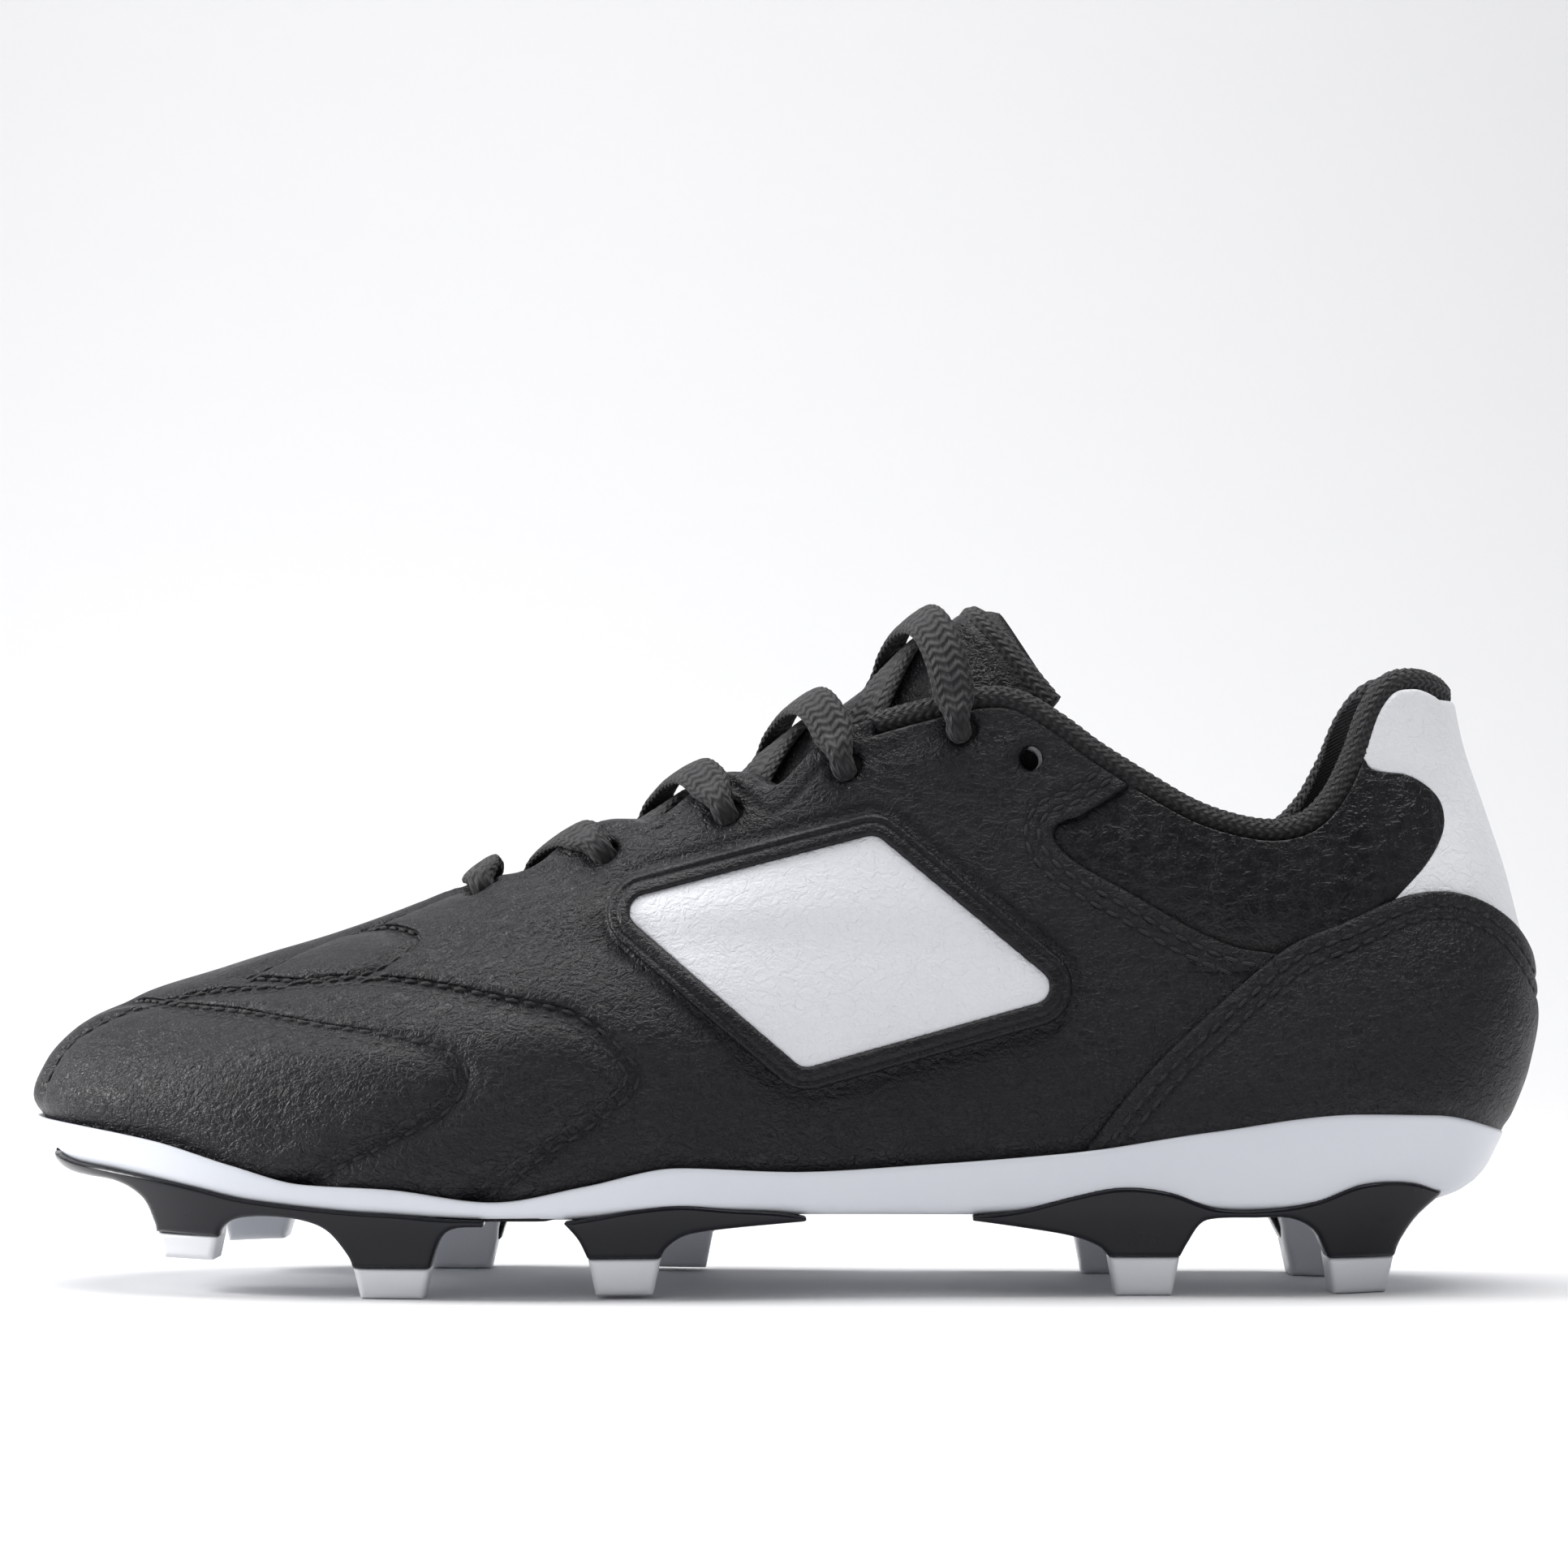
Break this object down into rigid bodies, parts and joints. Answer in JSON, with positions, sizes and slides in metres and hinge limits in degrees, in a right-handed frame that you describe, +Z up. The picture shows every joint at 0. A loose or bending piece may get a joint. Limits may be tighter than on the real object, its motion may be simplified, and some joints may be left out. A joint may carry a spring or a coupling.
{
  "type": "soccer cleat",
  "caption": "Low-cut firm-ground soccer cleat, left foot: black synthetic upper with stitched seams, knit collar, laced tongue, white sole plate and moulded studs.",
  "frame": {"origin": "middle of the length and width of the bounding box, on the ground plane under the studs", "axes": "+Z up, -X towards the toe, +X towards the heel, -Y the lateral side of the left foot, +Y the medial side"},
  "size_m": [0.2404, 0.0841, 0.1083],
  "materials": {
    "synthetic_black": "fine wrinkle grain, satin",
    "synthetic_white": "smooth, satin",
    "emblem_white": "smooth film with faint grain",
    "emblem_black": "embossed, satin",
    "stiffener": "stiffened non-woven",
    "foam": "open-cell foam",
    "counter_plastic": "moulded sheet",
    "lining": "knit mesh",
    "board": "stitched non-woven board",
    "sockliner_foam": "EVA foam with a cloth top",
    "plate_white": "satin moulded TPU",
    "carrier_black": "glossy moulded TPU",
    "stud_white": "satin moulded TPU",
    "knit_black": "ribbed knit",
    "lace_black": "flat braid"
  },
  "bodies": {
    "shoe": {"ankle_foam": "foam", "ankle_lining": "lining", "backing_foam": "foam", "collar_binding": "knit_black", "collar_panel_lateral": "synthetic_black", "collar_panel_medial": "synthetic_black", "eyestay_strip_lateral": "stiffener", "eyestay_strip_medial": "stiffener", "forefoot_carrier": "carrier_black", "heel_carrier_lateral": "carrier_black", "heel_carrier_medial": "carrier_black", "heel_counter": "counter_plastic", "heel_foxing": "synthetic_black", "heel_tab": "synthetic_white", "lace": "lace_black", "midfoot_carrier_lateral": "carrier_black", "midfoot_carrier_medial": "carrier_black", "side_emblem_frame_lateral": "emblem_black", "side_emblem_frame_medial": "emblem_black", "side_emblem_inlay_lateral": "emblem_white", "side_emblem_inlay_medial": "emblem_white", "sole_plate": "plate_white", "strobel_board": "board", "studs": "stud_white", "toe_puff": "stiffener", "upper_main": "synthetic_black", "vamp_lining": "lining"},
    "sockliner_pad": {"sockliner": "sockliner_foam"},
    "tongue_lower_part": {"tongue_face_lower": "synthetic_black", "tongue_foam_lower": "foam", "tongue_lining_lower": "lining"},
    "tongue_top_part": {"tongue_binding": "knit_black", "tongue_face_top": "synthetic_black", "tongue_foam_top": "foam", "tongue_lining_top": "lining"}
  },
  "joints": [
    {"name": "sockliner_lift", "type": "hinge", "parent": "shoe", "child": "sockliner_pad", "pos_m": [-0.1122, 0, 0.0277], "axis": [0, -1, 0], "range_deg": [0, 5]},
    {"name": "tongue_base", "type": "hinge", "parent": "shoe", "child": "tongue_lower_part", "pos_m": [-0.049, 0, 0.055], "axis": [0, 1, 0], "range_deg": [0, 6]},
    {"name": "tongue_fold", "type": "hinge", "parent": "tongue_lower_part", "child": "tongue_top_part", "pos_m": [0.0215, 0, 0.1013], "axis": [0, 1, 0], "range_deg": [-35, 12]}
  ]
}
